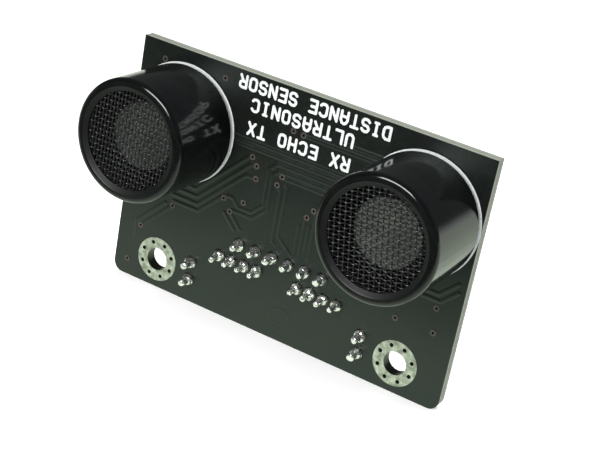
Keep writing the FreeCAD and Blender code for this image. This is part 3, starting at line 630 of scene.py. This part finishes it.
# ---- Printed words ------------------------------------------------------------------------------
GLYPHS = {
    "A": [[(0, 0), (0, 4.2), (0.8, 5.6), (2, 6), (3.2, 5.6), (4, 4.2), (4, 0)], [(0, 2.4), (4, 2.4)]],
    "C": [[(4, 1), (3.2, 0.2), (2, 0), (0.8, 0.2), (0, 1.2), (0, 4.8), (0.8, 5.8), (2, 6), (3.2, 5.8),
           (4, 5)]],
    "D": [[(0, 0), (0, 6), (2.2, 6), (3.5, 5.4), (4, 4.2), (4, 1.8), (3.5, 0.6), (2.2, 0), (0, 0)]],
    "E": [[(4, 0), (0, 0), (0, 6), (4, 6)], [(0, 3.1), (3.2, 3.1)]],
    "H": [[(0, 0), (0, 6)], [(4, 0), (4, 6)], [(0, 3), (4, 3)]],
    "I": [[(2, 0), (2, 6)], [(1, 0), (3, 0)], [(1, 6), (3, 6)]],
    "L": [[(0, 6), (0, 0), (4, 0)]],
    "N": [[(0, 0), (0, 6), (4, 0), (4, 6)]],
    "O": [[(0, 1.3), (0.6, 0.3), (2, 0), (3.4, 0.3), (4, 1.3), (4, 4.7), (3.4, 5.7), (2, 6), (0.6, 5.7),
           (0, 4.7), (0, 1.3)]],
    "R": [[(0, 0), (0, 6), (2.8, 6), (3.8, 5.5), (4, 4.5), (3.8, 3.5), (2.8, 3), (0, 3)], [(2, 3), (4, 0)]],
    "S": [[(0, 1), (0.8, 0.2), (2, 0), (3.3, 0.2), (4, 1.1), (4, 2.1), (3.2, 2.9), (0.8, 3.2), (0, 4),
           (0, 4.9), (0.7, 5.8), (2, 6), (3.2, 5.8), (4, 5)]],
    "T": [[(0, 6), (4, 6)], [(2, 6), (2, 0)]],
    "U": [[(0, 6), (0, 1.3), (0.7, 0.3), (2, 0), (3.3, 0.3), (4, 1.3), (4, 6)]],
    "X": [[(0, 0), (4, 6)], [(0, 6), (4, 0)]],
}
GLYPH_UNITS = (4.0, 6.0)
# Each line: its words, the x of its middle, the z of its upper side, and the step from letter to letter.
LINES = (
    ("DISTANCE SENSOR", 0.6, 29.5, 1.482),
    ("ULTRASONIC", -0.58, 26.95, 1.533),
    ("RX ECHO TX", -0.55, 23.8, 1.54),
)


def stroke_distance(points, strokes):
    """Distance from each point to the nearest stroke, and the unit vector away from it."""
    best = np.full(len(points), 1e9)
    away = np.zeros_like(points)
    for stroke in strokes:
        for a, b in zip(stroke, stroke[1:]):
            a, b = np.array(a), np.array(b)
            run = b - a
            t = np.clip((points - a) @ run / (run @ run), 0, 1)
            offset = points - (a + t[:, None] * run)
            distance = np.hypot(offset[:, 0], offset[:, 1])
            nearer = distance < best
            best[nearer] = distance[nearer]
            away[nearer] = offset[nearer] / np.maximum(distance[nearer], 1e-9)[:, None]
    return best, away


def letter(bm, strokes, x_right, z_top):
    """One upside-down letter as a thin slab with rounded outlines."""
    half = STROKE_WIDTH / 2
    scale = ((CAP_WIDTH - STROKE_WIDTH) / GLYPH_UNITS[0], (CAP_HEIGHT - STROKE_WIDTH) / GLYPH_UNITS[1])
    drawn = [[(half + u * scale[0], half + v * scale[1]) for u, v in stroke] for stroke in strokes]
    columns, rows = math.ceil(CAP_WIDTH / INK_CELL), math.ceil(CAP_HEIGHT / INK_CELL)
    corner = np.array([[i * INK_CELL, j * INK_CELL]
                       for i in range(columns + 1) for j in range(rows + 1)])
    centre = np.array([[(i + 0.5) * INK_CELL, (j + 0.5) * INK_CELL]
                       for i in range(columns) for j in range(rows)])
    inside = (stroke_distance(centre, drawn)[0] < half).reshape(columns, rows)
    filled = [(i, j) for i in range(columns) for j in range(rows) if inside[i, j]]
    cells_at = {}
    for i, j in filled:
        for node in ((i, j), (i + 1, j), (i + 1, j + 1), (i, j + 1)):
            cells_at[node] = cells_at.get(node, 0) + 1
    for _ in range(3):
        distance, away = stroke_distance(corner, drawn)
        on_edge = np.array([cells_at.get((i, j), 0) in (1, 2, 3) for i in range(columns + 1)
                            for j in range(rows + 1)])
        corner[on_edge] -= (distance - half)[on_edge, None] * away[on_edge]
    verts = {}
    for i, j in cells_at:
        u, v = corner[i * (rows + 1) + j]
        verts[i, j] = bm.verts.new((x_right - u, FRONT_Y - INK_THICKNESS, z_top - v))
    faces = [bm.faces.new((verts[i, j], verts[i + 1, j], verts[i + 1, j + 1], verts[i, j + 1]))
             for i, j in filled]
    raised = bmesh.ops.extrude_face_region(bm, geom=faces, use_keep_orig=True)
    for element in raised["geom"]:
        if isinstance(element, bmesh.types.BMVert):
            element.co.y = FRONT_Y


def printed_words():
    bm = bmesh.new()
    for words, middle, z_top, step in LINES:
        x_right = middle + step * (len(words) - 1) / 2 + CAP_WIDTH / 2
        for place, character in enumerate(words):
            if character != " ":
                letter(bm, GLYPHS[character], x_right - place * step, z_top)
    piece("printed_words", bm, FINISHES["white_ink"], smooth=False)


# ---- Stage, lights and camera -------------------------------------------------------------------
def sheet_of(name, corners, material):
    """A flat sheet from its corners, in millimetres; it belongs to the stage."""
    mesh = bpy.data.meshes.new(name)
    mesh.from_pydata([Vector(c) * MM for c in corners], [], [range(len(corners))])
    mesh.materials.append(material)
    obj = bpy.data.objects.new(name, mesh)
    bpy.context.scene.collection.objects.link(obj)
    return obj


def floor_finish():
    """Plain pale floor. In reflections it is a light table that dims away from the board's foot."""
    finish = Finish("floor", 0.9, specular_ior_level=0.0)
    finish.set("Base Color", (0.9, 0.9, 0.9, 1))
    finish.set("Emission Color", (1, 1, 1, 1))
    finish.set("Emission Strength", FLOOR_GLOW)
    glow = finish.nodes.new("ShaderNodeEmission")
    glow.inputs["Color"].default_value = (0.88, 1.0, 0.83, 1)
    finish.links.new(finish.spread(finish.axis("Y"), FLOOR_FAR, FLOOR_NEAR, *FLOOR_FADE_Y, smooth=True),
                     glow.inputs["Strength"])
    path = finish.nodes.new("ShaderNodeLightPath")
    mix = finish.nodes.new("ShaderNodeMixShader")
    finish.links.new(path.outputs["Is Glossy Ray"], mix.inputs[0])
    finish.links.new(finish.shader.outputs[0], mix.inputs[1])
    finish.links.new(glow.outputs[0], mix.inputs[2])
    finish.links.new(mix.outputs[0], finish.nodes["Material Output"].inputs["Surface"])
    return finish.material


def stage():
    reach, z = FLOOR_REACH, FLOOR_Z - FLOOR_GAP
    sheet_of("floor", [(-reach, -reach, z), (reach, -reach, z), (reach, reach, z), (-reach, reach, z)],
             floor_finish())


def map_range(nodes, source, target):
    """A node that maps one pair of numbers onto another."""
    node = nodes.new("ShaderNodeMapRange")
    for socket, value in zip(("From Min", "From Max", "To Min", "To Max"), (*source, *target)):
        node.inputs[socket].default_value = value
    return node


def sky():
    """White for the camera and soft for the floor; in reflections a dark room above a bright horizon."""
    world = bpy.data.worlds.new("studio")
    bpy.context.scene.world = world
    world.use_nodes = True
    nodes, links = world.node_tree.nodes, world.node_tree.links
    direction = nodes.new("ShaderNodeTexCoord")
    split = nodes.new("ShaderNodeSeparateXYZ")
    links.new(direction.outputs["Generated"], split.inputs[0])
    horizon = map_range(nodes, (0.0, HORIZON_SOFT), (SKY_HORIZON, SKY_REFLECTED))
    horizon.interpolation_type = "SMOOTHSTEP"
    links.new(split.outputs["Z"], horizon.inputs["Value"])
    ahead = map_range(nodes, (-SIDE_SOFT, SIDE_SOFT), (SKY_AHEAD, 1.0))
    links.new(split.outputs["Y"], ahead.inputs["Value"])
    reflected = nodes.new("ShaderNodeMath")
    reflected.operation = "MULTIPLY"
    links.new(horizon.outputs[0], reflected.inputs[0])
    links.new(ahead.outputs[0], reflected.inputs[1])
    path = nodes.new("ShaderNodeLightPath")
    level = nodes.new("ShaderNodeMix")
    level.inputs["A"].default_value = SKY_SOFT
    links.new(path.outputs["Is Glossy Ray"], level.inputs["Factor"])
    links.new(reflected.outputs[0], level.inputs["B"])
    seen = nodes.new("ShaderNodeMath")
    seen.operation = "MAXIMUM"
    links.new(path.outputs["Is Camera Ray"], seen.inputs[0])
    links.new(level.outputs["Result"], seen.inputs[1])
    links.new(seen.outputs[0], nodes["Background"].inputs["Strength"])
    nodes["Background"].inputs["Color"].default_value = (1, 1, 1, 1)


def softbox(name, place, size, power, aim, glossy=True):
    """A rectangular light at a place, turned towards a point; all in millimetres but its power in watts."""
    data = bpy.data.lights.new(name, "AREA")
    data.shape = "RECTANGLE"
    data.size, data.size_y = size[0] * MM, size[1] * MM
    data.energy = power
    light = bpy.data.objects.new(name, data)
    light.location = Vector(place) * MM
    light.rotation_mode = "QUATERNION"
    light.rotation_quaternion = (Vector(place) - Vector(aim)).to_track_quat("Z", "Y")
    light.visible_glossy = glossy
    bpy.context.scene.collection.objects.link(light)


def lights():
    softbox("key", KEY_PLACE, KEY_SIZE, KEY_WATTS, KEY_AIM)
    softbox("back", BACK_PLACE, BACK_SIZE, BACK_WATTS, BACK_AIM, glossy=False)


def camera():
    """The photograph's camera: turned to its azimuth, tipped down by its elevation and rolled."""
    data = bpy.data.cameras.new("camera")
    data.sensor_width = CAMERA_SENSOR
    data.lens = CAMERA_LENS
    data.clip_start, data.clip_end = 0.01, 20.0
    obj = bpy.data.objects.new("camera", data)
    turned = Matrix.Rotation(math.radians(CAMERA_AZIMUTH), 4, "Z")
    tipped = Matrix.Rotation(math.radians(90.0 - CAMERA_ELEVATION), 4, "X")
    rolled = Matrix.Rotation(math.radians(CAMERA_ROLL), 4, "Z")
    obj.matrix_world = Matrix.Translation(Vector(CAMERA_PLACE) * MM) @ turned @ tipped @ rolled
    bpy.context.scene.collection.objects.link(obj)
    bpy.context.scene.camera = obj


# ---- Making -------------------------------------------------------------------------------------
dress_cad_nodes()
woven_screen("transmitter", PITCH_NARROW, PITCH_WIDE, -0.7)
woven_screen("receiver", PITCH_WIDE, PITCH_NARROW, 9.0)
front_joints()
printed_words()
stage()
sky()
lights()
camera()
bpy.context.scene.view_settings.view_transform = "Standard"
